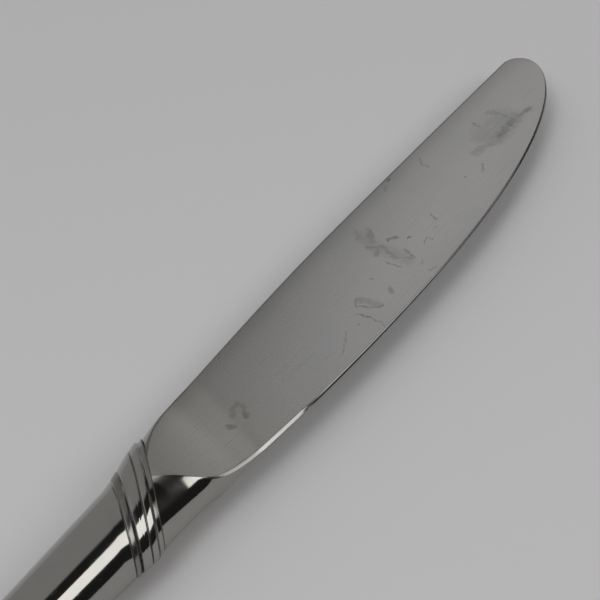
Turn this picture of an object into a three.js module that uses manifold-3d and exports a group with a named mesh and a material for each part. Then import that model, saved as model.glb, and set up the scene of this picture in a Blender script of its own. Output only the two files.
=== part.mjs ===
// Table knife with a hollow handle. The forged blade has a neck, a spigot and a notched tang. The handle
// is two stamped half shells, brazed edge to edge, with an oblique ribbed band round its mouth. The tang
// is cemented into the front of the handle.
//
// Lengths are in millimetres. X runs along the knife to the tip, Y lies in the blade's plane towards the
// spine, and Z stands up from the blade's flat. Until the last lines, X = 0 is the centre of the mouth.
import * as THREE from 'three';
import { mergeVertices } from 'three/addons/utils/BufferGeometryUtils.js';
import Module from 'manifold-3d';

const { clamp, lerp, smoothstep, degToRad } = THREE.MathUtils;

// Blade outline, seen from above
const bladeReach = 121.3; // mouth centre to tip
const neckTop = 7.2; // spine side of the neck
const neckBottom = 5.8; // edge side of the neck
const neckTopEnd = 3; // where the spine starts to rise from the neck
const neckBottomEnd = -7; // where the edge side starts to swell from the neck
const neckBottomSlope = -0.02;
const spineStart = { at: 11.5, height: 8.2, slope: 0.055 };
const spineCrest = { at: 60, height: 10.05, slope: 0 };
const spineEnd = { height: 9.72, slope: -0.01 }; // where the rounded nose begins
const heelStart = { at: 10, height: -7.1, slope: -0.11 };
const belly = { at: 59, height: -9.38, slope: 0 };
const tipHeight = 6; // of the foremost point of the nose
const noseLength = 4; // rounded corner between spine and tip
const bellySweep = 2.15; // power of the curve from belly to tip, 2 being an ellipse

// Blade thickness
const neckBack = { at: -6, height: 5.75, slope: -0.05 }; // half thickness of the neck at the joint
const neckFront = { at: 5, height: 5.2, slope: 0 }; // and where the blade leaves it
const spineThickness = 2.3; // at the spine's crest height, where the hollow ends
const edgeThickness = 0.64; // at the belly's depth, before sharpening
const tipThickness = 1.6; // of the spine at the tip
const hollowStart = 1.9; // the ground hollow runs from the neck's crown
const hollowEnd = 19.8; // down to the flat of the blade
const hollowRise = 4.35; // height of the hollow's start above the flat
const hollowRunIn = 1.2; // height over which the crown rounds off into the hollow
const neckCrown = 0.985; // share of the neck's half thickness left by the narrowest flat
const heelFade = { start: 4, end: 13 }; // the neck's round turns into the heel's chamfer
const heelChamfer = 0.42;
const sharpened = { start: 24.5, end: 27.5, bevel: 0.2 }; // the chamfer turns into the sharpened edge

// Handle outside, by distance behind the mouth
const handleLength = 116;
const jointAhead = 0.33; // where the oblique joint crosses the knife's axis
const bandSlant = 0.855; // run along X of the oblique band for each millimetre towards the spine
const slantEnd = 28; // sections are square to the knife from here on
const band = { halfWidth: 7.19, halfThickness: 5.75, centre: 0.8 };
const flareStart = 0.6;
const flareEnd = 8.9;
const shoulder = { at: 9, halfWidth: 5.77, widthSlope: -0.024, halfThickness: 5.55, thicknessSlope: -0.03 };
const waist = { at: 38, halfWidth: 4.95, halfThickness: 4.95 };
const swell = { at: 94, halfWidth: 8.5, halfThickness: 6.1 };
const buttRound = 2.4; // power of the rounded butt, 2 being an ellipse
const handleCentre = 0.13;
const rim = { width: 1.2, drop: 0.46 }; // tapered strip at the mouth
const ribs = [
  { width: 1.25, crown: 0.2 },
  { width: 2.65, crown: 0.26 },
  { width: 1.25, crown: 0.06 },
];
const ribRound = 4; // power of a rib's rounded top, 2 being a parabola

// Handle inside, and what holds the tang
const shellWall = 0.9;
const clearance = 0.3;
const spigotLength = 5;
const brazeRing = { behind: 1.8, width: 1.2, depth: 1.1 };
const tangEnd = 52;
const tangWidth = 5.2;
const tangThickness = 3;
const tangRoot = 3; // the tang starts this far inside the neck
const notch = { first: 20, pitch: 10, count: 3, radius: 1.1 };
const cementEnd = 58;
const seamBead = { depth: 1, height: 1.2 };

// Fineness of the facets
const ringSides = 36;
const ribSteps = 6;
const arcSteps = 6;
const neckSteps = 6;
const bladeSteps = 20;
const noseSteps = 8;
const mouthSteps = 7;
const bendSteps = 8;
const bodySteps = 10;
const buttSteps = 7;
const lastTurn = degToRad(85); // the rounded nose and butt end in a small facet here
const trim = 60; // larger than any section that a cutting block has to clear
const overlap = 1; // how far joined bodies run into each other

const steel = { color: 0x8c8b86, roughness: 0.24, metalness: 1 };
const polishedSteel = { color: 0x97968f, roughness: 0.1, metalness: 1 };
const filler = { color: 0xb59a5b, roughness: 0.45, metalness: 1 };
const cement = { color: 0xb9b4a8, roughness: 0.95, metalness: 0 };

const wasm = await Module();
wasm.setup();

function solidOf(geometry) {
  const bare = geometry.clone();
  bare.deleteAttribute('normal');
  bare.deleteAttribute('uv');
  const merged = mergeVertices(bare);
  return new wasm.Manifold(
    new wasm.Mesh({
      numProp: 3,
      vertProperties: Float32Array.from(merged.attributes.position.array),
      triVerts: Uint32Array.from(merged.index.array),
    }),
  );
}

function meshOf(name, solid, finish) {
  const { vertProperties, triVerts } = solid.getMesh();
  const geometry = new THREE.BufferGeometry();
  geometry.setAttribute('position', new THREE.BufferAttribute(vertProperties, 3));
  geometry.setIndex(new THREE.BufferAttribute(triVerts, 1));
  geometry.computeVertexNormals();
  const mesh = new THREE.Mesh(geometry, new THREE.MeshStandardMaterial(finish));
  mesh.name = name;
  return mesh;
}

// Closed skin over rings of equal length. Rings follow each other along +X, and each ring's points turn
// from +Y to +Z. Both ends are closed by a fan round the ring's middle.
function loft(rings) {
  const count = rings[0].length;
  const points = rings.flat();
  const faces = [];
  for (let ring = 0; ring + 1 < rings.length; ring++) {
    for (let i = 0; i < count; i++) {
      const here = ring * count + i;
      const next = ring * count + ((i + 1) % count);
      faces.push(here, next, next + count, here, next + count, here + count);
    }
  }
  for (const ring of [0, rings.length - 1]) {
    const middle = new THREE.Vector3();
    rings[ring].forEach((point) => middle.addScaledVector(point, 1 / count));
    const hub = points.push(middle) - 1;
    for (let i = 0; i < count; i++) {
      const here = ring * count + i;
      const next = ring * count + ((i + 1) % count);
      faces.push(hub, ...(ring === 0 ? [next, here] : [here, next]));
    }
  }
  const geometry = new THREE.BufferGeometry().setFromPoints(points);
  geometry.setIndex(faces);
  return geometry;
}

function block(from, to) {
  const size = new THREE.Vector3().subVectors(to, from);
  const geometry = new THREE.BoxGeometry(size.x, size.y, size.z);
  return geometry.translate(from.x + size.x / 2, from.y + size.y / 2, from.z + size.z / 2);
}

// Evenly spaced values from one station to another, without the last
function stations(from, to, count) {
  return Array.from({ length: count }, (_, i) => lerp(from, to, i / count));
}

// Smooth line through knots that give a height and a slope at each station, level beyond both ends
function curveThrough(knots) {
  return (at) => {
    const last = knots.length - 1;
    if (at <= knots[0].at) return knots[0].height;
    if (at >= knots[last].at) return knots[last].height;
    const right = knots.findIndex((knot) => at < knot.at);
    const [a, b] = [knots[right - 1], knots[right]];
    const run = b.at - a.at;
    const t = (at - a.at) / run;
    const pull = t * t * (3 - 2 * t);
    return lerp(a.height, b.height, pull) + run * t * (1 - t) * (a.slope * (1 - t) - b.slope * t);
  };
}

// Blade outline: spine above, edge below, meeting at the tip
const noseStart = bladeReach - noseLength;
const spineLine = curveThrough([
  { at: neckTopEnd, height: neckTop, slope: 0 },
  spineStart,
  spineCrest,
  { at: noseStart, ...spineEnd },
]);
const heelLine = curveThrough([
  { at: neckBottomEnd, height: -neckBottom, slope: neckBottomSlope },
  heelStart,
  belly,
]);

function spineAt(x) {
  if (x <= noseStart) return spineLine(x);
  const into = (x - noseStart) / noseLength;
  return tipHeight + (spineEnd.height - tipHeight) * Math.sqrt(1 - into ** 2);
}

function edgeAt(x) {
  if (x <= belly.at) return heelLine(x);
  const into = (x - belly.at) / (bladeReach - belly.at);
  return tipHeight + (belly.height - tipHeight) * Math.sqrt(1 - into ** bellySweep);
}

// Half thickness of the ground faces: a plane that thins to the edge and the tip, and the hollow that
// sweeps up from it and rounds off into the neck's crown
const neckHalfAt = curveThrough([neckBack, neckFront]);

function flatAt(x, y) {
  const toEdge = (spineCrest.height - y) / (spineCrest.height - belly.height);
  const toTip = (x - hollowEnd) / (bladeReach - hollowEnd);
  const thinning = (spineThickness - edgeThickness) * toEdge + (spineThickness - tipThickness) * toTip;
  const plane = (spineThickness - thinning) / 2;
  const rise = Math.max(0, (hollowEnd - x) / (hollowEnd - hollowStart));
  const hollow = plane + hollowRise * rise ** 2;
  const crown = neckHalfAt(x) * neckCrown;
  const share = clamp(0.5 + (crown - hollow) / (2 * hollowRunIn), 0, 1);
  return lerp(crown, hollow, share) - hollowRunIn * share * (1 - share);
}

// One section of the forging: an oval cut off above and below by the ground faces. Towards the blade its
// lower end turns from the oval's round into the heel's chamfer and the sharpened edge.
function bladeRing(x) {
  const top = spineAt(x);
  const bottom = edgeAt(x);
  const centre = (top + bottom) / 2;
  const half = (top - bottom) / 2;
  const neckHalf = neckHalfAt(x);
  const heel = smoothstep(x, heelFade.start, heelFade.end);
  const edge = smoothstep(x, sharpened.start, sharpened.end);
  const bevel = Math.min(lerp(heelChamfer, sharpened.bevel, edge), half);
  const ovalAt = (z) => half * Math.sqrt(1 - (z / neckHalf) ** 2);
  const edgeSide = (z, cut) => lerp(centre - ovalAt(z), bottom + bevel * (z / cut), heel);
  let spineCut = flatAt(x, top);
  let edgeCut = flatAt(x, bottom);
  for (let settle = 0; settle < arcSteps; settle++) {
    spineCut = flatAt(x, centre + ovalAt(spineCut));
    edgeCut = flatAt(x, edgeSide(edgeCut, edgeCut));
  }
  const upper = [];
  for (let i = 0; i <= arcSteps; i++) {
    const z = spineCut * Math.sin((i / arcSteps) * (Math.PI / 2));
    upper.push(new THREE.Vector3(x, centre + ovalAt(z), z));
  }
  for (let i = 0; i <= arcSteps; i++) {
    const z = i < arcSteps ? edgeCut * Math.cos((i / arcSteps) * (Math.PI / 2)) : 0;
    upper.push(new THREE.Vector3(x, edgeSide(z, edgeCut), z));
  }
  const lower = upper.slice(1, -1).reverse();
  return [...upper, ...lower.map((point) => new THREE.Vector3(point.x, point.y, -point.z))];
}

// Handle sections, by distance behind the mouth. An inset gives the same form further in, for the cavity
// and for what lies in it; only the outside has the ribs.
const widthLine = curveThrough([
  { at: shoulder.at, height: shoulder.halfWidth, slope: shoulder.widthSlope },
  { at: waist.at, height: waist.halfWidth, slope: 0 },
  { at: swell.at, height: swell.halfWidth, slope: 0 },
]);
const thicknessLine = curveThrough([
  { at: shoulder.at, height: shoulder.halfThickness, slope: shoulder.thicknessSlope },
  { at: waist.at, height: waist.halfThickness, slope: 0 },
  { at: swell.at, height: swell.halfThickness, slope: 0 },
]);

function ribHeight(behind) {
  if (behind < rim.width) return rim.drop * (behind / rim.width - 1);
  let start = rim.width;
  for (const rib of ribs) {
    const across = Math.abs((2 * (behind - start)) / rib.width - 1);
    if (across <= 1) return rib.crown * (1 - across ** ribRound);
    start += rib.width;
  }
  return 0;
}

function handleRing(behind, inset) {
  const flare = 1 - smoothstep(behind, flareStart, flareEnd);
  const slant = bandSlant * (1 - smoothstep(behind, 0, slantEnd));
  const buttLength = handleLength - swell.at;
  const intoButt = Math.max(0, (behind - swell.at) / (buttLength - inset));
  const close = Math.sqrt(Math.max(0, 1 - intoButt ** buttRound));
  const relief = inset > 0 ? -inset : ribHeight(behind);
  const halfWidth = (lerp(widthLine(behind), band.halfWidth, flare) + relief) * close;
  const halfThickness = (lerp(thicknessLine(behind), band.halfThickness, flare) + relief) * close;
  const centre = lerp(handleCentre, band.centre, flare);
  return Array.from({ length: ringSides }, (_, i) => {
    const turn = (i / ringSides) * 2 * Math.PI;
    const y = centre + halfWidth * Math.cos(turn);
    return new THREE.Vector3(jointAhead + slant * y - behind, y, halfThickness * Math.sin(turn));
  });
}

function handleSolid(inset, distances) {
  return solidOf(loft([...distances].reverse().map((behind) => handleRing(behind, inset))));
}

function buttStations(inset) {
  const length = handleLength - swell.at - inset;
  return [...stations(0, lastTurn, buttSteps), lastTurn].map((turn) => swell.at + length * Math.sin(turn));
}

const outsideStations = [0];
let bandEnd = rim.width;
for (const rib of ribs) {
  outsideStations.push(...stations(bandEnd, bandEnd + rib.width, ribSteps));
  bandEnd += rib.width;
}
outsideStations.push(...stations(bandEnd, flareEnd, arcSteps));
outsideStations.push(...stations(flareEnd, slantEnd, bendSteps));
outsideStations.push(...stations(slantEnd, swell.at, bodySteps));
outsideStations.push(...buttStations(0));

function insideStations(inset) {
  return [
    -overlap,
    ...stations(0, flareEnd, mouthSteps),
    ...stations(flareEnd, swell.at, bodySteps),
    ...buttStations(inset),
  ];
}

// The two half shells meet edge to edge in the blade's plane
const cavity = handleSolid(shellWall, insideStations(shellWall));
const shellPair = handleSolid(0, outsideStations).subtract(cavity);
const aboveSeam = solidOf(
  block(new THREE.Vector3(-handleLength - trim, -trim, 0), new THREE.Vector3(trim, trim, trim)),
);
const upperShell = shellPair.intersect(aboveSeam);
const lowerShell = shellPair.subtract(aboveSeam);

// Tang outline with round notches along both sides; grown by the clearance it gives the cement's hole
function tangSolid(grow) {
  const side = tangWidth / 2 + grow;
  const end = -(tangEnd + grow);
  const radius = notch.radius - grow;
  const outline = new THREE.Shape();
  outline.moveTo(tangRoot, -side);
  outline.lineTo(tangRoot, side);
  for (let i = 0; i < notch.count; i++) {
    const at = -(notch.first + i * notch.pitch);
    outline.absarc(at, side, radius, 0, -Math.PI, true);
  }
  outline.lineTo(end, side);
  outline.lineTo(end, -side);
  for (let i = notch.count - 1; i >= 0; i--) {
    const at = -(notch.first + i * notch.pitch);
    outline.absarc(at, -side, radius, Math.PI, 0, true);
  }
  outline.closePath();
  const depth = tangThickness + 2 * grow;
  const plate = new THREE.ExtrudeGeometry(outline, { depth, bevelEnabled: false, curveSegments: arcSteps });
  return solidOf(plate.translate(0, 0, -depth / 2));
}

// The spigot fills the mouth and has a groove for the braze ring
const lining = shellWall + clearance;
const ringInside = lining + brazeRing.depth;
const grooveStart = brazeRing.behind - clearance;
const grooveEnd = brazeRing.behind + brazeRing.width + clearance;
const ringEnds = [brazeRing.behind, brazeRing.behind + brazeRing.width];
const groove = handleSolid(lining - overlap, [grooveStart, grooveEnd]).subtract(
  handleSolid(ringInside + clearance, [grooveStart - overlap, grooveEnd + overlap]),
);
const spigotStations = [-overlap, ...stations(0, spigotLength, mouthSteps), spigotLength];
const spigot = handleSolid(lining, spigotStations).subtract(groove);
const braze = handleSolid(lining, ringEnds).subtract(
  handleSolid(ringInside, [ringEnds[0] - overlap, ringEnds[1] + overlap]),
);

// The forging is lofted from behind the mouth to the tip and cut off along the oblique joint
const forgeStart = jointAhead - bandSlant * neckBottom - 2 * overlap;
const noseTurns = [...stations(0, lastTurn, noseSteps), lastTurn];
const bladeStations = [
  ...stations(forgeStart, hollowStart, neckSteps),
  ...stations(hollowStart, sharpened.end, bladeSteps),
  ...stations(sharpened.end, noseStart, bladeSteps),
  ...noseTurns.map((turn) => noseStart + noseLength * Math.sin(turn)),
];
const behindJoint = block(new THREE.Vector3(-trim, -trim, -trim), new THREE.Vector3(0, trim, trim));
behindJoint.rotateZ(-Math.atan(bandSlant)).translate(jointAhead, 0, 0);
const forging = solidOf(loft(bladeStations.map(bladeRing))).subtract(solidOf(behindJoint));
const blade = forging.add(spigot).add(tangSolid(0));

// Cement fills the front of the cavity round the tang, from the spigot back
const jointGap = clearance * Math.hypot(1, bandSlant); // clearance measured along X at the oblique face
const cementStations = [
  ...stations(spigotLength + jointGap, flareEnd, neckSteps),
  ...stations(flareEnd, cementEnd, bodySteps),
  cementEnd,
];
const cementCore = handleSolid(lining, cementStations).subtract(tangSolid(clearance));

// Bead of filler along the seam, in the empty rear of the handle
const beadRegion = solidOf(
  block(
    new THREE.Vector3(-handleLength, -trim, -seamBead.height / 2),
    new THREE.Vector3(-cementEnd - clearance, trim, seamBead.height / 2),
  ),
);
const beadInside = lining + seamBead.depth;
const seamBraze = handleSolid(lining, insideStations(lining))
  .subtract(handleSolid(beadInside, insideStations(beadInside)))
  .intersect(beadRegion);

const pieces = new THREE.Group();
pieces.add(meshOf('blade', blade, steel));
pieces.add(meshOf('upper_handle_shell', upperShell, polishedSteel));
pieces.add(meshOf('lower_handle_shell', lowerShell, polishedSteel));
pieces.add(meshOf('seam_braze', seamBraze, filler));
pieces.add(meshOf('bolster_braze', braze, filler));
pieces.add(meshOf('cement_core', cementCore, cement));

// The knife's origin is the middle of its box, on the surface that it lies on
const box = new THREE.Box3().setFromObject(pieces);
const middle = box.getCenter(new THREE.Vector3());
pieces.position.set(-middle.x, -middle.y, -box.min.z);

const knife = new THREE.Group();
knife.name = 'dinner_knife';
knife.add(pieces);

export default knife;
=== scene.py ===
import math

import bpy
import numpy as np
from mathutils import Matrix, Vector


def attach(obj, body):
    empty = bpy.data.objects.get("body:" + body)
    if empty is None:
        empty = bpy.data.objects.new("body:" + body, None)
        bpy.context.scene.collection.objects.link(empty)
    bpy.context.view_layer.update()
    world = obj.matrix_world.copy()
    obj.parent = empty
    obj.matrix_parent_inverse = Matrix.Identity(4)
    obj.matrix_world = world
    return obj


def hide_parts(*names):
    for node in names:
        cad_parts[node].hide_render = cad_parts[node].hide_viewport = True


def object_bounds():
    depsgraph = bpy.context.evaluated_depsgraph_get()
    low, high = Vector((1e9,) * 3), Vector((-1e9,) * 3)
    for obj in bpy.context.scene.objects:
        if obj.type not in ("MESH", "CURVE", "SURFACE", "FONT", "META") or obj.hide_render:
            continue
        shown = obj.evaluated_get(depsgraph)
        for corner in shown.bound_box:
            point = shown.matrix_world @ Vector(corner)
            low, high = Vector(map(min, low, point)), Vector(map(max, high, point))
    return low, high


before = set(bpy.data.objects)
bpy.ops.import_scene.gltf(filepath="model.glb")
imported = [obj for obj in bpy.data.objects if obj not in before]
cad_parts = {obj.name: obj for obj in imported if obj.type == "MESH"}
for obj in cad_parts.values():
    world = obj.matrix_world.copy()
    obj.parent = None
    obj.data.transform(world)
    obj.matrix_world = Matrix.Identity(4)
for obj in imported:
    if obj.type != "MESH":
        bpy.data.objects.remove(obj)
cad_low, cad_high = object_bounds()

# Blade
# One stainless forging: the round-nosed blade, the oval neck, and behind the oblique joint the spigot and
# the notched tang that the handle hides. Its faces are ground to a satin and the neck is polished.
# Lengths are in millimetres from the middle of the handle's mouth.
per_metre = 1000
reach = 121.285
spine_crest = 10.045
mouth = np.array([
    cad_high.x * per_metre - reach,
    cad_high.y * per_metre - spine_crest,
    (cad_low.z + cad_high.z) / 2 * per_metre,
])

# The outline and the neck's half thickness run through knots that give a place, a height and a slope
belly_at, belly_depth, belly_sweep = 59.0, -9.372, 2.15
tip_height, nose_length = 6.0, 4.0
nose_start = reach - nose_length
spine_knots = [(3.0, 7.2, 0.0), (11.5, 8.2, 0.055), (60.0, spine_crest, 0.0), (nose_start, 9.72, -0.01)]
heel_knots = [
    (-7.0, -5.93, -0.01), (2.0, -6.2, -0.045), (10.0, -6.92, -0.115), (belly_at, belly_depth, 0.0),
]
neck_knots = [(-6.0, 5.85, -0.085), (2.2, 5.15, -0.085), (3.0, 5.115, 0.0)]

# Half thickness at spine, edge and tip, the hollow that runs up to the neck's crown, and the faces' slight
# rise in the middle and roll-off at the spine. The hollow ends just inside the neck's round.
spine_half, edge_half, tip_half = 1.15, 0.32, 0.8
hollow_start, hollow_end, hollow_lean = 1.9, 18.2, 0.32
hollow_rise, hollow_power, hollow_run_in = 4.35, 1.9, 1.2
face_rise, face_half_width = 0.15, 9.7
roll_off, roll_width = 0.07, 3.5
just_inside = 0.9999


def ease(value, start, end):
    """Smooth step from 0 at start to 1 at end."""
    t = np.clip((value - start) / (end - start), 0, 1)
    return t * t * (3 - 2 * t)


def line_through(at, knots):
    """Smooth line through knots that give a place, a height and a slope."""
    height = np.full_like(at, knots[0][1])
    for (a, low, slope_in), (b, high, slope_out) in zip(knots, knots[1:]):
        run = b - a
        t = np.clip((at - a) / run, 0, 1)
        curve = low + (high - low) * t * t * (3 - 2 * t)
        curve += run * t * (1 - t) * (slope_in * (1 - t) - slope_out * t)
        height = np.where(at > a, curve, height)
    return height


def spine_line(x):
    into_nose = np.clip((x - nose_start) / nose_length, 0, 1)
    nose = tip_height + (spine_knots[-1][1] - tip_height) * np.sqrt(1 - into_nose**2)
    return np.where(x > nose_start, nose, line_through(x, spine_knots))


def edge_line(x):
    into_sweep = np.clip((x - belly_at) / (reach - belly_at), 0, 1)
    sweep = tip_height + (belly_depth - tip_height) * np.sqrt(1 - into_sweep**belly_sweep)
    return np.where(x > belly_at, sweep, line_through(x, heel_knots))


def ground_face(x, y):
    """Half thickness of the ground faces: a plane, thinner to edge and tip, and the hollow to the neck."""
    to_edge = (spine_crest - y) / (spine_crest - belly_depth)
    to_tip = (x - hollow_end) / (reach - hollow_end)
    flat = spine_half - (spine_half - edge_half) * to_edge - (spine_half - tip_half) * to_tip
    flat = flat - roll_off * np.clip(1 - (spine_line(x) - y) / roll_width, 0, 1) ** 2
    flat = flat + face_rise * (1 - np.minimum(1, (y / face_half_width) ** 2))
    end = hollow_end + hollow_lean * y
    hollow = flat + hollow_rise * np.maximum(0, (end - x) / (end - hollow_start)) ** hollow_power
    crown = just_inside * line_through(x, neck_knots)
    share = np.clip(0.5 + 0.5 * (crown - hollow) / hollow_run_in, 0, 1)
    return crown + (hollow - crown) * share - hollow_run_in * share * (1 - share)


# The upper half of a section is rows of points from the middle of the spine to the middle of the edge: the
# spine's round, its corner, the ground face, the crease, and the neck's round or the sharpened edge.
# Rows crowd towards both ends of the face, and some rounds find where it cuts the spine and the edge.
spine_rows, corner_rows, face_rows, chamfer_rows, edge_rows = 14, 5, 26, 6, 18
face_crowding = 0.12
cut_rounds = 10
chamfer_depth, chamfer_rise, chamfer_limit, edge_bevel = 0.45, 0.34, 0.97, 0.2
# A corner is no wider than a share of the face and no deeper than a share of the half thickness there
spine_corner, edge_corner, edge_corner_growth = 0.28, 0.06, 2.5
corner_of_face, corner_of_spine, corner_of_edge = 0.3, 0.6, 0.4
# Where along the knife a form, a finish or a painted mark sets in or ends
neck_fade = (4.0, 10.5)
sharpened, honed_from = (24.4, 26.4), (26.2, 28.0)
bare_end, worn_end, worn_height = (25.2, 26.5), (1.0, 4.5), 1.3
glint_start, glint_end = (26.0, 31.0), (58.0, 72.0)


def bend(start, corner, end, t):
    """Round from start to end, which sets out towards the corner between them."""
    return (1 - t) ** 2 * start + 2 * t * (1 - t) * corner + t * t * end


def half_section(x):
    """Rows of y, height, satin, bare steel with a painted glint, and honed edge painted dark for the upper
    half of the sections at x.
    """
    top, bottom = spine_line(x), edge_line(x)
    centre, half = (top + bottom) / 2, (top - bottom) / 2
    sharp = ease(x, *sharpened)
    depth = np.minimum(chamfer_depth + (edge_bevel - chamfer_depth) * sharp, half)
    round_neck = 1 - ease(x, *neck_fade)
    neck_half = line_through(x, neck_knots)

    def spine_side(z):
        return centre + half * np.sqrt(np.maximum(0, 1 - (z / neck_half) ** 2))

    def chamfer_foot(cut):
        return cut - np.minimum(chamfer_limit * cut, chamfer_rise + (cut - chamfer_rise) * sharp)

    def edge_side(z, cut):
        foot = chamfer_foot(cut)
        chamfer = bottom + depth * np.clip((z - foot) / (cut - foot), 0, 1)
        return chamfer + (2 * centre - spine_side(z) - chamfer) * round_neck

    spine_cut = ground_face(x, centre)
    edge_cut = spine_cut
    for _ in range(cut_rounds):
        spine_cut = ground_face(x, spine_side(spine_cut))
        edge_cut = ground_face(x, edge_side(edge_cut, edge_cut))
    spine_y, edge_y = spine_side(spine_cut), edge_side(edge_cut, edge_cut)
    width = spine_y - edge_y
    widest_corner = corner_of_face * width
    spine_round = np.minimum(np.minimum(spine_corner, widest_corner), corner_of_spine * spine_cut)
    edge_round = np.minimum(edge_corner * (1 + edge_corner_growth * sharp), widest_corner)
    edge_round = np.minimum(edge_round, corner_of_edge * edge_cut)
    spine_top, edge_top = spine_cut - spine_round, edge_cut - edge_round
    face_top, face_end = spine_y - spine_round, edge_y + edge_round
    foot = chamfer_foot(edge_cut)

    satin = np.minimum(1, width)
    bare = (1 - round_neck) * (1 - ease(x, *bare_end))
    # From here on the honed edge is painted near black in the material: painted shade
    honed_edge_painted_dark = ease(x, *honed_from)
    # A painted highlight: a thin bright line laid on the edge's corner rows as bare steel
    painted_glint = ease(x, *glint_start) * (1 - ease(x, *glint_end))
    none = 0 * satin

    def worn_satin(z):
        return np.clip(1 - (edge_top - z) / worn_height, 0, 1) * (1 - ease(x, *worn_end)) * satin

    rows = []
    for i in range(spine_rows):
        z = spine_top * math.sin(i / spine_rows * math.pi / 2)
        rows.append((spine_side(z), z, none, none, none))
    for i in range(corner_rows):
        t = i / corner_rows
        y = bend(spine_side(spine_top), spine_y, face_top, t)
        z = bend(spine_top, spine_cut, ground_face(x, face_top), t)
        rows.append((y, z, t * satin, none, none))
    for i in range(face_rows + 1):
        t = i / face_rows
        t -= face_crowding * math.sin(2 * math.pi * t)
        y = face_top + (face_end - face_top) * t
        rows.append((y, ground_face(x, y), satin, none, none))
    for i in range(1, corner_rows):
        t = i / corner_rows
        y = bend(face_end, edge_y, edge_side(edge_top, edge_cut), t)
        z = bend(ground_face(x, face_end), edge_cut, edge_top, t)
        rows.append((y, z, (1 - t) * satin, t * bare + painted_glint, none))
    for i in range(chamfer_rows):
        z = edge_top + (foot - edge_top) * i / chamfer_rows
        rows.append((edge_side(z, edge_cut), z, worn_satin(z), bare, honed_edge_painted_dark))
    for i in range(edge_rows):
        z = foot * math.cos(i / edge_rows * math.pi / 2)
        rows.append((edge_side(z, edge_cut), z, worn_satin(z), none, honed_edge_painted_dark))
    rows.append((edge_side(none, edge_cut), none, none, none, honed_edge_painted_dark))
    return rows


# Stretches of sections from the joint on, each with its end and its number of sections, then the nose
blade_stretches = [(3, 14), (30, 110), (nose_start - 12, 90), (nose_start, 24)]
nose_sections, nose_turn = 26, math.radians(88)
joint_slant, joint_ahead, joint_fade = 0.855, 0.33, 16.0
joint_rounds = 12
# A point's place and its three columns of finish, painted glint and painted dark edge, on the lower side
other_side = np.array([1, 1, -1, 1, 1, 1])


def forging_rings():
    """Sections from the oblique joint to the tip, which turn square to the knife on the way."""
    stretches = []
    start = 0
    for end, count in blade_stretches:
        stretches.append(np.linspace(start, end, count, endpoint=False))
        start = end
    stretches.append(nose_start + nose_length * np.sin(np.linspace(0, nose_turn, nose_sections)))
    stations = np.concatenate(stretches)
    oblique = 1 - ease(stations, 0, joint_fade)

    # Each row of points has its own x, which leans with the joint, so it is taken from its own sections
    x = np.repeat(stations[None, :], len(half_section(stations)), axis=0)
    for _ in range(joint_rounds):
        rows = half_section(x)
        y, z, *finish = (np.array([row[part][i] for i, row in enumerate(rows)]) for part in range(5))
        x = stations + (joint_ahead + joint_slant * y) * oblique
    upper = np.stack([x, y, z, *finish], axis=2)
    lower = upper[-2:0:-1] * other_side
    return np.concatenate([upper, lower]).transpose(1, 0, 2)


# Behind the joint: a spigot with a groove for the filler, and a flat tang with round notches
spigot_length = 5.0
spigot_half_width, spigot_half_thickness, spigot_taper = 5.95, 4.55, 0.13
spigot_centre = 0.8
groove_start, groove_end, groove_depth = 1.5, 3.3, 1.4
tang_end, tang_tip_length = 52.0, 1.5
tang_half_width, tang_half_thickness, tang_roundness = 2.6, 1.5, 0.25
notches, notch_radius, notch_steps = (40.0, 30.0, 20.0), 1.1, 9


def hidden_rings(joint):
    """Sections of tang and spigot, each with as many points as the ring at the joint."""
    turn = np.arctan2(joint[:, 2], joint[:, 1] - spigot_centre)
    plain = np.zeros_like(turn)

    def spigot(behind, inset):
        shrink = inset + spigot_taper * behind
        y = spigot_centre + (spigot_half_width - shrink) * np.cos(turn)
        z = (spigot_half_thickness - shrink) * np.sin(turn)
        return np.stack([joint_ahead + joint_slant * y - behind, y, z, plain, plain, plain], axis=1)

    def tang(x, half_width):
        y = half_width * np.sign(np.cos(turn)) * np.abs(np.cos(turn)) ** tang_roundness
        z = tang_half_thickness * np.sign(np.sin(turn)) * np.abs(np.sin(turn)) ** tang_roundness
        return np.stack([plain + x, y, z, plain, plain, plain], axis=1)

    rings = [tang(-tang_end, tang_half_width), tang(-tang_end + tang_tip_length, tang_half_width)]
    for middle in notches:
        for angle in np.linspace(-math.pi / 2, math.pi / 2, notch_steps):
            waist = tang_half_width - notch_radius * math.cos(angle)
            rings.append(tang(notch_radius * math.sin(angle) - middle, waist))
    root = tang(0, tang_half_width)
    root[:, 0] = joint_ahead + joint_slant * root[:, 1] - spigot_length
    rings.append(root)
    for behind, inset in (
        (spigot_length, 0), (groove_end, 0), (groove_end, groove_depth),
        (groove_start, groove_depth), (groove_start, 0), (0, 0),
    ):
        rings.append(spigot(behind, inset))
    return np.array(rings)


forging = forging_rings()
forging = np.concatenate([hidden_rings(forging[0]), forging])
crease_angle = math.radians(38)


def skin(name, rings):
    """Closed mesh over rings that follow each other along +X and turn from the spine over the top."""
    count = rings.shape[1]
    points = rings[:, :, :3].reshape(-1, 3)
    faces = []
    for r in range(len(rings) - 1):
        for i in range(count):
            j = (i + 1) % count
            faces.append((r * count + i, r * count + j, (r + 1) * count + j, (r + 1) * count + i))
    faces.append(tuple(reversed(range(count))))
    faces.append(tuple(range((len(rings) - 1) * count, len(rings) * count)))
    mesh = bpy.data.meshes.new(name)
    mesh.from_pydata(((points + mouth) / per_metre).tolist(), [], faces)
    for column, finish in ((3, "satin"), (4, "bare_steel_and_painted_glint"), (5, "honed_edge_painted_dark")):
        values = rings[:, :, column].ravel()
        mesh.attributes.new(finish, "FLOAT", "POINT").data.foreach_set("value", values)
    mesh.update()
    mesh.shade_smooth()
    mesh.set_sharp_from_angle(angle=crease_angle)
    piece = bpy.data.objects.new(name, mesh)
    bpy.context.scene.collection.objects.link(piece)
    return piece


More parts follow.
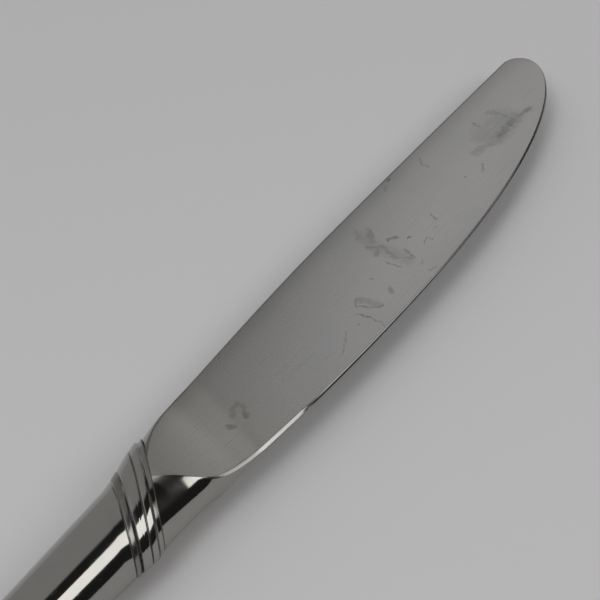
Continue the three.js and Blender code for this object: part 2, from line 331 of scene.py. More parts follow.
def add_node(tree, kind, inputs=None, output=0, **settings):
    """Adds a node, sets or links its inputs by name or number, and gives back one of its outputs."""
    node = tree.nodes.new(kind)
    for name, value in settings.items():
        setattr(node, name, value)
    for key, value in (inputs or {}).items():
        if isinstance(value, bpy.types.NodeSocket):
            tree.links.new(value, node.inputs[key])
        else:
            node.inputs[key].default_value = value
    return node.outputs[output]


def add_math(tree, operation, *values):
    return add_node(tree, "ShaderNodeMath", dict(enumerate(values)), operation=operation)


def add_vector_math(tree, operation, *values, output=0):
    return add_node(tree, "ShaderNodeVectorMath", dict(enumerate(values)), output, operation=operation)


def add_range(tree, value, start, end, low=0.0, high=1.0, kind="SMOOTHSTEP"):
    """Takes start to low and end to high, and stays there outside them."""
    given = dict(enumerate((value, start, end, low, high)))
    return add_node(tree, "ShaderNodeMapRange", given, interpolation_type=kind)


def add_mix(tree, share, first, second):
    """Mixes two colours, which a Mix node takes at inputs 6 and 7 and gives out at output 2."""
    return add_node(tree, "ShaderNodeMix", {0: share, 6: first, 7: second}, 2, data_type="RGBA")


# Nearly all values of a noise lie between these
noise_low, noise_high = 0.3, 0.7


def add_noise(tree, place, scale, detail, roughness=0.5, output="Fac"):
    given = {"Vector": place, "Scale": scale, "Detail": detail, "Roughness": roughness}
    return add_node(tree, "ShaderNodeTexNoise", given, output)


def add_bump(tree, height, strength, distance):
    return add_node(tree, "ShaderNodeBump", {"Height": height, "Strength": strength, "Distance": distance})


def add_attribute(tree, name):
    return add_node(tree, "ShaderNodeAttribute", output="Fac", attribute_name=name)


def split(tree, vector):
    """The parts of a vector: along the knife, across it towards the spine, and up."""
    node = tree.nodes.new("ShaderNodeSeparateXYZ")
    tree.links.new(vector, node.inputs[0])
    return node.outputs["X"], node.outputs["Y"], node.outputs["Z"]


def shader_group(name, inputs, outputs):
    """Starts a node group, and gives back its tree, its inputs and its outputs."""
    tree = bpy.data.node_groups.new(name, "ShaderNodeTree")
    for socket_name, kind in inputs.items():
        tree.interface.new_socket(socket_name, in_out="INPUT", socket_type="NodeSocket" + kind)
    for socket_name in outputs:
        tree.interface.new_socket(socket_name, in_out="OUTPUT", socket_type="NodeSocketFloat")
    return tree, tree.nodes.new("NodeGroupInput").outputs, tree.nodes.new("NodeGroupOutput").inputs


# Dried water leaves a mark along a short stroke: the mask is full near the line from Start to End and
# fades out at the mark's half width.
mark_core = 0.1
water_mark, given, made = shader_group(
    "water_mark", {"Place": "Vector", "Start": "Vector", "End": "Vector", "Half width": "Float"}, ["Mask"]
)
stroke = add_vector_math(water_mark, "SUBTRACT", given["End"], given["Start"])
from_start = add_vector_math(water_mark, "SUBTRACT", given["Place"], given["Start"])
reached = add_vector_math(water_mark, "DOT_PRODUCT", from_start, stroke, output="Value")
whole = add_vector_math(water_mark, "DOT_PRODUCT", stroke, stroke, output="Value")
share = add_node(water_mark, "ShaderNodeClamp", {0: add_math(water_mark, "DIVIDE", reached, whole)})
nearest = add_node(water_mark, "ShaderNodeVectorMath", {0: stroke, "Scale": share}, operation="SCALE")
off_stroke = add_vector_math(water_mark, "SUBTRACT", from_start, nearest)
away = add_vector_math(water_mark, "LENGTH", off_stroke, output="Value")
core = add_math(water_mark, "MULTIPLY", given["Half width"], mark_core)
water_mark.links.new(add_range(water_mark, away, given["Half width"], core), made["Mask"])

# Wear leaves fine scratches: thin lines of a stretched noise, broken up along their length
line_span, patch_span = (0.6, 0.7), (0.42, 0.6)
fine_scratches, given, made = shader_group(
    "fine_scratches", {"Place": "Vector", "Run": "Vector"}, ["Lines"]
)
drawn_out = add_vector_math(fine_scratches, "MULTIPLY", given["Place"], given["Run"])
hair = add_noise(fine_scratches, drawn_out, scale=1, detail=2)
patches = add_noise(fine_scratches, given["Place"], scale=0.12, detail=1)
hair_lines = add_range(fine_scratches, hair, *line_span)
worn_patches = add_range(fine_scratches, patches, *patch_span)
fine_scratches.links.new(add_math(fine_scratches, "MULTIPLY", hair_lines, worn_patches), made["Lines"])


def new_material(name):
    """Gives back a new material, its node tree and its shader."""
    material = bpy.data.materials.new(name)
    material.use_nodes = True
    return material, material.node_tree, material.node_tree.nodes["Principled BSDF"]


def place_in_millimetres(tree):
    """Place on the knife in millimetres from the middle of the mouth."""
    coordinates = add_node(tree, "ShaderNodeTexCoord", output="Object")
    settings = {"Vector": coordinates, "Location": -mouth, "Scale": (per_metre, per_metre, per_metre)}
    return add_node(tree, "ShaderNodeMapping", settings)


# Marks on the two faces: start, end, half width and darkness
upper_marks = [
    # dried drops in the middle
    ((63.3, 5.2), (61.5, 3.2), 0.7, 0.5), ((61.6, 6.3), (60.6, 5.4), 0.75, 0.3),
    ((63.2, 1.2), (64.8, 0.2), 0.3, 0.6), ((65.8, -1.3), (66.0, -1.3), 0.2, 0.8),
    ((59.8, 3.0), (61.4, 0.8), 0.5, 0.5), ((59.2, 0.9), (60.6, 1.6), 0.65, 0.5),
    ((61.0, 0.0), (60.5, -2.2), 0.6, 0.45), ((62.9, -2.2), (62.5, -4.4), 0.35, 0.5),
    ((61.6, -3.2), (62.2, -4.4), 0.25, 0.5), ((58.6, -1.4), (59.4, -3.9), 0.2, 0.6),
    ((61.5, 5.0), (60.4, 2.0), 1.6, 0.22), ((60.8, 1.2), (61.4, -3.6), 1.5, 0.22),
    # thin strokes towards the tip
    ((72.9, -1.1), (72.5, -2.7), 0.16, 0.6), ((70.4, -3.2), (70.8, -3.9), 0.2, 0.4),
    ((66.0, -4.1), (67.7, -3.6), 0.14, 0.5), ((67.7, -3.6), (67.9, -4.4), 0.14, 0.5),
    ((84.0, 7.8), (82.9, 6.5), 0.2, 0.5), ((82.9, 6.5), (83.0, 5.4), 0.2, 0.5),
    ((76.3, 9.3), (76.0, 9.2), 0.36, 1.0), ((74.2, 8.6), (73.4, 8.2), 0.5, 0.3),
    ((61.6, -7.9), (62.8, -8.6), 0.18, 0.45), ((62.5, -5.8), (61.8, -6.1), 0.18, 0.4),
    # runs near the edge
    ((48.8, -1.9), (47.6, -2.8), 0.26, 0.7), ((47.6, -2.8), (48.5, -4.8), 0.22, 0.6),
    ((48.5, -4.8), (50.4, -6.3), 0.22, 0.6), ((49.0, -2.6), (50.0, -5.4), 0.8, 0.3),
    ((54.0, -4.9), (53.5, -5.8), 0.4, 0.5), ((54.1, -1.5), (54.2, -1.6), 0.22, 0.6),
    ((46.1, -3.7), (46.8, -5.9), 0.18, 0.7), ((46.8, -5.9), (46.8, -8.4), 0.14, 0.5),
    ((44.5, -5.3), (44.6, -5.4), 0.2, 0.6), ((42.0, -4.6), (37.6, -6.8), 0.12, 0.4),
    # patch at the tip
    ((97.8, -0.5), (103.0, -0.2), 0.9, 0.7), ((103.2, -0.2), (108.3, -1.1), 0.6, 0.55),
    ((103.3, 4.2), (103.6, 0.4), 0.24, 0.55), ((98.2, 5.1), (97.9, 3.6), 0.4, 0.4),
    ((92.0, 0.6), (95.9, -1.0), 0.24, 0.4), ((89.4, -1.9), (87.7, -2.9), 0.25, 0.45),
    ((84.6, -1.1), (84.7, -1.2), 0.22, 0.6), ((97.0, -0.4), (104.5, 0.0), 1.7, 0.4),
    ((102.5, 4.4), (104.0, 0.8), 0.9, 0.3), ((91.0, 0.8), (97.0, -0.4), 0.9, 0.3),
    ((96.0, 1.6), (103.0, 1.8), 2.6, 0.25),
    # two spots at the heel
    ((16.2, -1.4), (16.5, -1.6), 0.5, 0.7), ((19.6, -1.7), (19.3, -1.9), 0.5, 0.9),
    ((19.7, -1.5), (20.6, -0.5), 0.45, 0.45), ((20.6, -0.5), (20.4, 0.4), 0.45, 0.45),
    ((20.4, 0.4), (19.2, 0.3), 0.5, 0.5), ((19.2, 0.3), (18.1, -0.4), 0.5, 0.35),
]
lower_marks = [
    ((28.0, 2.5), (31.5, 1.0), 0.5, 0.5), ((36.0, -4.0), (38.5, -4.6), 0.3, 0.6),
    ((52.0, 4.0), (53.5, 1.5), 0.6, 0.45), ((66.0, -1.0), (70.0, -2.4), 0.25, 0.6),
    ((83.0, 3.5), (86.0, 4.2), 0.7, 0.4), ((101.0, -1.0), (103.0, 2.0), 0.4, 0.55),
]
mark_spread, mark_wobble = 1.4, 1.5
mottle_span, mark_faintest, mark_strongest = (0.3, 0.62), 0.5, 1.2
noise_middle = (0.5, 0.5, 0.5)

blade_steel, tree, shader = new_material("satin_blade_steel")
place = place_in_millimetres(tree)
from_mouth, towards_spine, height = split(tree, place)
satin = add_attribute(tree, "satin")
bare = add_attribute(tree, "bare_steel_and_painted_glint")
honed_edge_painted_dark = add_attribute(tree, "honed_edge_painted_dark")
wobble = add_noise(tree, place, scale=1.1, detail=3, output="Color")
wobble = add_vector_math(tree, "SUBTRACT", wobble, noise_middle)
wobbled = add_vector_math(tree, "MULTIPLY_ADD", wobble, (mark_wobble, mark_wobble, 0), place)
flat_place = add_vector_math(tree, "MULTIPLY", wobbled, (1, 1, 0))


def marks_mask(marks, on_this_side):
    """Darkness of one side's marks, and 0 on the other side."""
    darkest = 0.0
    for start, end, half_width, darkness in marks:
        given = {"Place": flat_place, "Start": (*start, 0), "End": (*end, 0)}
        given["Half width"] = mark_spread * half_width
        mask = add_node(tree, "ShaderNodeGroup", given, "Mask", node_tree=water_mark)
        darkest = add_math(tree, "MAXIMUM", darkest, add_math(tree, "MULTIPLY", mask, darkness))
    return add_math(tree, "MULTIPLY", darkest, on_this_side)


upper_mask = marks_mask(upper_marks, add_math(tree, "GREATER_THAN", height, 0.0))
lower_mask = marks_mask(lower_marks, add_math(tree, "LESS_THAN", height, 0.0))
marks = add_math(tree, "ADD", upper_mask, lower_mask)
mottle = add_noise(tree, wobbled, scale=1.6, detail=4, roughness=0.65)
mottle = add_range(tree, mottle, *mottle_span, mark_faintest, mark_strongest)
marks = add_math(tree, "MULTIPLY", add_math(tree, "MULTIPLY", marks, mottle), satin)

# The satin is a little warmer at the heel
satin_warm, satin_cool = (0.37, 0.364, 0.363, 1), (0.356, 0.354, 0.356, 1)
satin_at_heel, heel_tone_span = (0.37, 0.364, 0.346, 1), (6.0, 40.0)
haze = add_noise(tree, place, scale=0.09, detail=3)
clean = add_mix(tree, add_range(tree, haze, noise_low, noise_high), satin_warm, satin_cool)
clean = add_mix(tree, add_range(tree, from_mouth, *heel_tone_span), satin_at_heel, clean)

# A darker strip is painted across the heel where the hollow ends: painted shade that tones down the
# hollow's bright reflection there
heel_shade_at, heel_shade_lean, heel_shade_half_width, heel_shade_core = 14.8, 0.17, 4.0, 0.5
heel_painted_shade_tone = (0.292, 0.287, 0.273, 1)
square_on = add_math(tree, "MULTIPLY_ADD", towards_spine, -heel_shade_lean, from_mouth)
off_heel_shade = add_math(tree, "ABSOLUTE", add_math(tree, "SUBTRACT", square_on, heel_shade_at))
heel_shade_mask = add_range(tree, off_heel_shade, heel_shade_half_width, heel_shade_core)
clean = add_mix(tree, add_math(tree, "MULTIPLY", heel_shade_mask, satin), clean, heel_painted_shade_tone)

water_stain = (0.205, 0.208, 0.194, 1)
bare_steel_and_glint_tone = (0.78, 0.775, 0.775, 1)
# The honed edge is painted near black: painted shade that stands in for the dark reflection along the
# sharpened edge
painted_dark_edge_tone = (0.06, 0.06, 0.058, 1)
steel = add_mix(tree, marks, clean, water_stain)
# The bare steel tone also paints the thin glint along the edge, a painted highlight
steel = add_mix(tree, bare, steel, bare_steel_and_glint_tone)
steel = add_mix(tree, honed_edge_painted_dark, steel, painted_dark_edge_tone)
tree.links.new(steel, shader.inputs["Base Color"])
shader.inputs["Metallic"].default_value = 1

# A polish has the lowest roughness; the other finishes and the wear add to it
neck_polish, satin_finest, satin_coarsest = 0.09, 0.24, 0.28
scratch_roughness, mark_roughness, bare_roughness, honed_roughness = 0.03, 0.08, 0.27, 0.2
along_blade = (0.05, 5.0, 1.0)
scratches = add_node(
    tree, "ShaderNodeGroup", {"Place": place, "Run": along_blade}, "Lines", node_tree=fine_scratches
)
grain = add_noise(tree, place, scale=9, detail=2)
satin_roughness = add_range(tree, grain, noise_low, noise_high, satin_finest, satin_coarsest, "LINEAR")
satin_roughness = add_math(tree, "MULTIPLY_ADD", scratches, scratch_roughness, satin_roughness)
satin_roughness = add_math(tree, "MULTIPLY_ADD", marks, mark_roughness, satin_roughness)
roughness = add_range(tree, satin, 0, 1, neck_polish, satin_roughness, "LINEAR")
roughness = add_math(tree, "MULTIPLY_ADD", bare, bare_roughness, roughness)
roughness = add_math(tree, "MULTIPLY_ADD", honed_edge_painted_dark, honed_roughness, roughness)
tree.links.new(roughness, shader.inputs["Roughness"])
scratch_strength, scratch_depth = 0.008, 0.02 / per_metre
satin_scratches = add_math(tree, "MULTIPLY", scratches, satin)
bump = add_bump(tree, satin_scratches, scratch_strength, scratch_depth)
tree.links.new(bump, shader.inputs["Normal"])

blade = skin("knife_blade", forging)
blade.data.materials.append(blade_steel)
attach(blade, "root")
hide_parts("blade")

# Handle shells
# Two halves pressed from thin stainless sheet and brazed edge to edge, with the oblique ribbed band rolled
# in round the mouth, then polished as one. Lengths are in millimetres behind the joint.
shell_sizes = {
    "Length": 115.914,
    "Wall": 0.9,
    "Joint ahead": joint_ahead,
    "Joint slant": joint_slant,
    "Slant end": 28.0,
    "Band half width": 7.19,
    "Band half thickness": 5.75,
    "Band centre": spigot_centre,
    "Flare start": 0.6,
    "Flare end": 8.9,
    "Shoulder": 9.0,
    "Shoulder half width": 5.77,
    "Shoulder half thickness": 5.55,
    "Shoulder width slope": -0.024,
    "Shoulder thickness slope": -0.03,
    "Waist": 38.0,
    "Waist half width": 4.95,
    "Waist half thickness": 4.95,
    "Swell": 94.0,
    "Swell half width": 8.5,
    "Swell half thickness": 6.099,
    "Butt round": 2.4,
    "Handle centre": 0.13,
    "Rim": 1.22,
    "Rim drop": 0.32,
    "Rim step": 0.3,
    "Rim lean": 0.01,
    "Front rib": 1.55,
    "Front rib crown": 0.03,
    "Rear rib": 2.49,
    "Rear rib crown": 0.04,
    "Lip": 1.4,
    "Lip crown": 0.03,
    "Rib lean": 0.03,
    "Groove depth": 0.12,
    "Groove half width": 0.2,
    "Gap half width": 0.36,
    "Score": 3.8,
    "Score depth": 0.006,
    "Score half width": 0.22,
}
shell_rows = {"Rim": 24, "Front rib": 28, "Rear rib": 56, "Lip": 26, "Flare": 44, "Body": 110, "Butt": 60}
shell_sides = 96

shell_tree = bpy.data.node_groups.new("half_shell", "GeometryNodeTree")
shell_tree.is_modifier = True
shell_tree.interface.new_socket("Shell", in_out="OUTPUT", socket_type="NodeSocketGeometry")
for name, value in shell_sizes.items():
    socket = shell_tree.interface.new_socket(name, in_out="INPUT", socket_type="NodeSocketFloat")
    socket.default_value = value
shell_tree.interface.new_socket("Start turn", in_out="INPUT", socket_type="NodeSocketFloat")
shell_tree.interface.new_socket("Polish", in_out="INPUT", socket_type="NodeSocketMaterial")
size = shell_tree.nodes.new("NodeGroupInput").outputs


def reckon(operation, *values):
    return add_math(shell_tree, operation, *values)


def total(*values):
    result = values[0]
    for value in values[1:]:
        result = reckon("ADD", result, value)
    return result


def times(*values):
    result = values[0]
    for value in values[1:]:
        result = reckon("MULTIPLY", result, value)
    return result


def minus(a, b):
    return reckon("SUBTRACT", a, b)


def between(value, start, end, low, high, kind="LINEAR"):
    return add_range(shell_tree, value, start, end, low, high, kind)


def pick(choice, when_false, when_true):
    given = {"Switch": choice, "False": when_false, "True": when_true}
    return add_node(shell_tree, "GeometryNodeSwitch", given, input_type="FLOAT")


# A flat grid: its rows run from the mouth to the butt, and its columns run round the outside, over the
# seam, back along the inside and over the other seam.
row_count = sum(shell_rows.values()) + 2
column_count = 2 * shell_sides + 3
grid = add_node(shell_tree, "GeometryNodeMeshGrid", {
    "Size X": row_count - 1,
    "Size Y": column_count - 1,
    "Vertices X": row_count,
    "Vertices Y": column_count,
}, "Mesh")
grid_x, grid_y, _ = split(shell_tree, add_node(shell_tree, "GeometryNodeInputPosition"))
row = total(grid_x, (row_count - 1) / 2 - 1)
column = total(grid_y, (column_count - 1) / 2)
on_first_run = reckon("LESS_THAN", column, shell_sides + 0.5)
back_run = between(column, shell_sides + 1, 2 * shell_sides + 1, 1, 0)
round_share = pick(on_first_run, back_run, reckon("DIVIDE", column, shell_sides))
inside = times(minus(1, on_first_run), reckon("LESS_THAN", column, 2 * shell_sides + 1.5))
turn = total(times(round_share, math.pi), size["Start turn"])
at_mouth = reckon("LESS_THAN", row, -0.5)
mouth_inset = times(0.5, total(size["Wall"], size["Rim drop"]))
inset = pick(at_mouth, times(inside, size["Wall"]), mouth_inset)

# Distance behind the joint for each row
rear_rib_start = total(size["Rim"], size["Front rib"])
lip_start = total(rear_rib_start, size["Rear rib"])
band_end = total(lip_start, size["Lip"])
lengths = {name: size[name] for name in ("Rim", "Front rib", "Rear rib", "Lip")}
lengths["Flare"] = minus(size["Flare end"], band_end)
lengths["Body"] = minus(size["Swell"], size["Flare end"])
behind = 0.0
first = 0
for name, length in lengths.items():
    behind = total(between(row, first, first + shell_rows[name], 0, length), behind)
    first += shell_rows[name]
butt_turn = between(row, first, first + shell_rows["Butt"], 0, math.pi / 2)
butt_length = minus(minus(size["Length"], size["Swell"]), inset)
behind = total(behind, times(butt_length, reckon("SINE", butt_turn)))

# Half width and half thickness of the body, the band's flare and the ribs
into_shoulder = between(behind, size["Shoulder"], size["Waist"], 0, 1)
to_waist = minus(1, into_shoulder)
shoulder_run = times(minus(size["Waist"], size["Shoulder"]), into_shoulder, to_waist, to_waist)
flare = between(behind, size["Flare start"], size["Flare end"], 1, 0, "SMOOTHSTEP")


def body_half(kind):
    """Half width or half thickness of the handle, with the band's flare."""
    shoulder_half, waist_half = size[f"Shoulder half {kind}"], size[f"Waist half {kind}"]
    front = between(behind, size["Shoulder"], size["Waist"], shoulder_half, waist_half, "SMOOTHSTEP")
    gain = minus(size[f"Swell half {kind}"], waist_half)
    rear = between(behind, size["Waist"], size["Swell"], 0, gain, "SMOOTHSTEP")
    body = total(front, rear, times(shoulder_run, size[f"Shoulder {kind} slope"]))
    return total(body, times(flare, minus(size[f"Band half {kind}"], body)))


def distance_from(at):
    return reckon("ABSOLUTE", minus(behind, at))


def notch(at, half_width):
    """1 in the middle of a groove, 0 from its shoulders on."""
    return between(distance_from(at), 0, half_width, 1, 0, "SMOOTHSTEP")


# A rib stops just short of the next one, so that the two never add up
rib_limit = 0.999


def rib(start, name):
    """Round crown between two grooves, higher at its front, and 0 outside them."""
    width = size[name]
    forward = minus(1, times(2, reckon("DIVIDE", minus(behind, start), width)))
    crown = times(size[name + " crown"], minus(1, times(forward, forward)))
    lean = times(0.5, size["Rib lean"], width, forward)
    on_rib = reckon("LESS_THAN", reckon("ABSOLUTE", forward), rib_limit)
    return times(total(crown, lean), on_rib)


front_grooves = reckon(
    "MAXIMUM",
    notch(size["Rim"], size["Groove half width"]),
    notch(rear_rib_start, size["Groove half width"]),
)
rear_grooves = reckon(
    "MAXIMUM",
    notch(lip_start, size["Gap half width"]),
    notch(band_end, size["Groove half width"]),
)
on_rim = reckon("LESS_THAN", behind, size["Rim"])
rim_fall = between(behind, minus(size["Rim"], size["Rim step"]), size["Rim"], -1, 0, "SMOOTHSTEP")
rib_relief = total(
    times(size["Rim drop"], rim_fall),
    times(size["Rim lean"], minus(behind, size["Rim"]), on_rim),
    rib(size["Rim"], "Front rib"),
    rib(rear_rib_start, "Rear rib"),
    rib(lip_start, "Lip"),
    times(size["Groove depth"], reckon("MAXIMUM", front_grooves, rear_grooves), -1),
    times(size["Score depth"], notch(size["Score"], size["Score half width"]), -1),
)
relief = pick(reckon("GREATER_THAN", inset, 0), rib_relief, times(inset, -1))

# The butt's round comes to a point, which a rounding error must not leave open
rounding_error = 1e-6
into_butt = reckon("MAXIMUM", 0, reckon("DIVIDE", minus(behind, size["Swell"]), butt_length))
left_open = minus(1 - rounding_error, reckon("POWER", into_butt, size["Butt round"]))
closing = reckon("SQRT", reckon("MAXIMUM", 0, left_open))

# Place of each point from the middle of the mouth
centre = total(size["Handle centre"], times(flare, minus(size["Band centre"], size["Handle centre"])))
slant = times(size["Joint slant"], between(behind, 0, size["Slant end"], 1, 0, "SMOOTHSTEP"))
across = total(centre, times(total(body_half("width"), relief), closing, reckon("COSINE", turn)))
upward = times(total(body_half("thickness"), relief), closing, reckon("SINE", turn))
along = total(minus(times(slant, across), behind), size["Joint ahead"])

# Old polish and dirt stay in the joint, the grooves and on the lip, most of it on the edge's side. The
# same dark tone in the grooves and the gap is partly painted shade.
joint_dirt, dirt_core, dirt_spread = 0.35, 0.6, 1.5
edge_side_from, edge_side_full = -0.2, -0.5
to_edge_side = between(reckon("COSINE", turn), edge_side_from, edge_side_full, 0, 1, "SMOOTHSTEP")
half_lip = times(0.5, size["Lip"])
dirt_and_shade = between(behind, 0, joint_dirt, 1, 0)
for at, half_width, on_top, on_side in (
    (size["Rim"], size["Groove half width"], 0.1, 0.75),
    (rear_rib_start, size["Groove half width"], 0.35, 0.5),
    (lip_start, size["Gap half width"], 0.15, 1.0),
    (total(lip_start, half_lip), half_lip, 0.5, 0.3),
    (band_end, size["Groove half width"], 0.1, 0.4),
):
    full_to, none_from = times(dirt_core, half_width), times(dirt_spread, half_width)
    in_groove = between(distance_from(at), full_to, none_from, 1, 0, "SMOOTHSTEP")
    amount = total(on_top, times(on_side - on_top, to_edge_side))
    dirt_and_shade = reckon("MAXIMUM", dirt_and_shade, times(in_groove, amount))

# The grid takes its places, is welded along its seams and gets its finish
spots = [
    times(total(value, float(shift)), 1 / per_metre)
    for value, shift in zip((along, across, upward), mouth)
]
spot = add_node(shell_tree, "ShaderNodeCombineXYZ", dict(enumerate(spots)))
weld_distance = 1e-6
shell = grid
for kind, inputs in (
    ("StoreNamedAttribute", {"Name": "groove_dirt_and_shade", "Value": dirt_and_shade}),
    ("SetPosition", {"Position": spot}),
    ("MergeByDistance", {"Distance": weld_distance}),
    ("RealizeInstances", {}),
    ("SetMaterial", {"Material": size["Polish"]}),
):
    shell = add_node(shell_tree, "GeometryNode" + kind, {"Geometry": shell, **inputs})
shell_tree.links.new(shell, shell_tree.nodes.new("NodeGroupOutput").inputs["Shell"])

# A mirror polish with fine wear. Dirt, and the painted shade laid with it, hides the metal and has no
# shine of its own.
polish_warm, polish_cool = (0.375, 0.366, 0.347, 1), (0.357, 0.355, 0.347, 1)
dirt_and_shade_tone = (0.03, 0.029, 0.02, 1)
polish_finest, polish_coarsest, scratch_roughness, dirt_roughness = 0.07, 0.12, 0.08, 0.4
scratch_strength, round_handle = 0.04, (0.6, 3.0, 3.0)
crumb_span, dirt_thinnest, cover_power = (0.3, 0.6), 0.8, 3
handle_steel, tree, shader = new_material("polished_handle_steel")
place = place_in_millimetres(tree)
crumbs = add_noise(tree, place, scale=1.4, detail=4)
crumbs = add_range(tree, crumbs, *crumb_span, dirt_thinnest, 1.0)
groove_dirt_and_shade = add_math(tree, "MULTIPLY", add_attribute(tree, "groove_dirt_and_shade"), crumbs)
haze = add_noise(tree, place, scale=0.2, detail=3)
clean = add_mix(tree, add_range(tree, haze, noise_low, noise_high), polish_warm, polish_cool)
tree.links.new(add_mix(tree, groove_dirt_and_shade, clean, dirt_and_shade_tone), shader.inputs["Base Color"])
bare = add_math(tree, "SUBTRACT", 1, add_math(tree, "POWER", groove_dirt_and_shade, cover_power))
tree.links.new(bare, shader.inputs["Metallic"])
shader.inputs["Specular IOR Level"].default_value = 0
scratches = add_node(
    tree, "ShaderNodeGroup", {"Place": place, "Run": round_handle}, "Lines", node_tree=fine_scratches
)
roughness = add_range(tree, haze, noise_low, noise_high, polish_finest, polish_coarsest, "LINEAR")
roughness = add_math(tree, "MULTIPLY_ADD", scratches, scratch_roughness, roughness)
roughness = add_math(tree, "MULTIPLY_ADD", groove_dirt_and_shade, dirt_roughness, roughness)
tree.links.new(roughness, shader.inputs["Roughness"])
tree.links.new(add_bump(tree, scratches, scratch_strength, scratch_depth), shader.inputs["Normal"])


def half_shell(name, start_turn):
    """One half of the handle as a plain mesh, made by the tree from its sizes."""
    piece = bpy.data.objects.new(name, bpy.data.meshes.new(name))
    bpy.context.scene.collection.objects.link(piece)
    making = piece.modifiers.new("half_shell", "NODES")
    making.node_group = shell_tree
    values = {**shell_sizes, "Start turn": start_turn, "Polish": handle_steel}
    for item in shell_tree.interface.items_tree:
        if item.name in values:
            making[item.identifier] = values[item.name]
    evaluated = piece.evaluated_get(bpy.context.evaluated_depsgraph_get())
    shell = bpy.data.meshes.new_from_object(evaluated)
    piece.modifiers.clear()
    piece.data = shell
    shell.name = name
    shell.shade_smooth()
    shell.set_sharp_from_angle(angle=crease_angle)
    return piece


for node, start_turn in (("upper_handle_shell", 0.0), ("lower_handle_shell", math.pi)):
    shell = half_shell("knife_" + node, start_turn)
    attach(shell, "root")
    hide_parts(node)

# Filler and cement
# The brass-coloured filler that joins shells and spigot, and the cement that holds the tang. They lie
# inside the handle as the solids give them.
lump_span, lump_strength, lump_depth = (0.35, 0.65), 0.4, 0.2 / per_metre


def cast_material(name, light, dark, metallic, smoothest, roughest):
    material, tree, shader = new_material(name)
    lumps = add_noise(tree, place_in_millimetres(tree), scale=1.2, detail=5, roughness=0.6)
    colour = add_mix(tree, add_range(tree, lumps, *lump_span), dark, light)
    roughness = add_range(tree, lumps, noise_low, noise_high, smoothest, roughest, "LINEAR")
    tree.links.new(colour, shader.inputs["Base Color"])
    tree.links.new(roughness, shader.inputs["Roughness"])
    shader.inputs["Metallic"].default_value = metallic
    tree.links.new(add_bump(tree, lumps, lump_strength, lump_depth), shader.inputs["Normal"])
    return material


filler = cast_material(
    "brass_filler", light=(0.74, 0.6, 0.33, 1), dark=(0.5, 0.36, 0.17, 1),
    metallic=1.0, smoothest=0.3, roughest=0.55,
)
cement = cast_material(
    "cement_filling", light=(0.66, 0.63, 0.56, 1), dark=(0.5, 0.47, 0.41, 1),
    metallic=0.0, smoothest=0.85, roughest=1.0,
)
for node, material in (("seam_braze", filler), ("bolster_braze", filler), ("cement_core", cement)):
    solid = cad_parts[node]
    solid.data.materials.clear()
    solid.data.materials.append(material)

# Table, light and camera
# A plain pale table top in a grey room: a toned wall on the far side, a pale ceiling, and a dark near side
# with a window. A small key light hangs high beyond the butt, and two soft panels fill in.
bpy.ops.mesh.primitive_plane_add(size=4)
table = bpy.context.object
table.name = "table_top"
pale_table, _, shader = new_material("pale_table")
shader.inputs["Base Color"].default_value = (0.8, 0.795, 0.805, 1)
shader.inputs["Roughness"].default_value = 0.6
shader.inputs["Specular IOR Level"].default_value = 0.2
table.data.materials.append(pale_table)

# The far wall's tones, by the share of a look that goes along the knife
wall_tones = [
    (0.4, 0.35), (0.46, 0.25), (0.52, 0.43), (0.56, 0.57),
    (0.62, 0.66), (0.7, 0.66), (0.78, 0.49), (0.95, 0.4),
]
world = bpy.data.worlds.new("room")
bpy.context.scene.world = world
world.use_nodes = True
room = world.node_tree
looking = add_node(room, "ShaderNodeTexCoord", output="Generated")
looking_along, looking_across, looking_up = split(room, looking)
wall = room.nodes.new("ShaderNodeValToRGB")
room.links.new(looking_along, wall.inputs["Fac"])
for place_along, tone in wall_tones[2:]:
    wall.color_ramp.elements.new(place_along)
for stop, (place_along, tone) in zip(wall.color_ramp.elements, wall_tones):
    stop.position = place_along
    stop.color = (tone, tone, tone, 1)

# Past the tip the wall is brightest a little beside the knife's line, and falls off further to the side
tip_span, line_fade, side_fade = (0.46, 0.54), (0.08, 0.26), (0.18, 0.48)
brightest, faintest = 1.97, 0.3
fall = add_range(room, looking_across, *side_fade, brightest, faintest, "LINEAR")
fall = add_math(room, "MULTIPLY", fall, add_range(room, looking_across, *line_fade))
past_tip = add_range(room, looking_along, *tip_span)
fall = add_range(room, past_tip, 0, 1, 1, fall, "LINEAR")
far_side_span = (-0.06, 0.06)
far_side = add_range(room, looking_across, *far_side_span)
far_wall = add_math(room, "MULTIPLY", wall.outputs["Color"], fall)
far_wall = add_math(room, "MULTIPLY", far_side, far_wall)

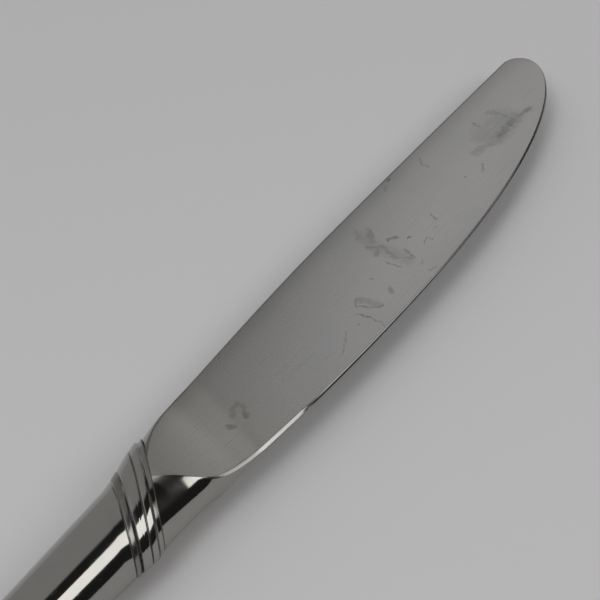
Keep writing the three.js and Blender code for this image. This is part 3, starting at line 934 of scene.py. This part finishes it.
# The ceiling is pale towards the handle's end and dark towards the tip
ceiling_end, ceiling_span = (0.3, 0.05), (0.6, 0.9)
ceiling_tone, room_tone = 0.38, 0.02
towards_handle = add_range(room, looking_along, *ceiling_end)
high_up = add_range(room, looking_up, *ceiling_span, 0.0, ceiling_tone)
ceiling = add_math(room, "MULTIPLY", towards_handle, high_up)
brightness = add_math(room, "ADD", add_math(room, "ADD", far_wall, ceiling), room_tone)
sky = room.nodes["Background"]
room.links.new(brightness, sky.inputs["Strength"])
sky.inputs["Color"].default_value = (1, 0.993, 0.98, 1)


def set_up(name, data, place, right, up):
    """Puts a lamp or the camera in its place. Both look straight away from the cross of right and up."""
    thing = bpy.data.objects.new(name, data)
    bpy.context.scene.collection.objects.link(thing)
    turned = Matrix((right, up, right.cross(up))).transposed().to_4x4()
    thing.matrix_world = Matrix.Translation(place) @ turned
    return thing


def soft_light(name, place, width, height, power, colour):
    """A soft panel that faces the knife, at a place in metres from its middle, with its width along it."""
    data = bpy.data.lights.new(name, "AREA")
    data.shape = "RECTANGLE"
    data.size, data.size_y = width, height
    data.energy = power
    data.color = colour
    back = Vector(place).normalized()
    along = (Vector((1, 0, 0)) - back * back.x).normalized()
    set_up(name, data, place, along, back.cross(along))


daylight, warm_daylight = (1, 0.99, 0.995), (1, 0.985, 0.96)
soft_light("overhead", (-0.3, 0.02, 0.55), width=0.3, height=0.22, power=0.6, colour=daylight)
soft_light("side_fill", (-0.7, -0.5, 0.5), width=1.0, height=0.9, power=0.65, colour=daylight)
soft_light("low_panel", (0.72, -0.54, 0.44), width=0.4, height=0.4, power=0.36, colour=warm_daylight)
window_along, window_turn = 0.2, math.radians(39.9)
window_out = math.sqrt(1 - window_along**2)
window_place = (window_along, -window_out * math.sin(window_turn), window_out * math.cos(window_turn))
soft_light("window", window_place, width=0.52, height=0.48, power=1.54, colour=warm_daylight)

# The camera's place is in millimetres from the middle of the handle's mouth, as the blade's lengths are
camera_data = bpy.data.cameras.new("camera")
camera_data.sensor_width = 36
camera_data.lens = 87
camera_data.clip_start = 0.01
right = Vector((0.569, -0.8223, 0.0)).normalized()
up = Vector((0.5815, 0.4023, 0.7071)).normalized()
eye = (Vector((-89.53, -86.91, 162.56)) + Vector(mouth)) / per_metre
bpy.context.scene.camera = set_up("camera", camera_data, eye, right, up)
bpy.context.scene.view_settings.view_transform = "Standard"
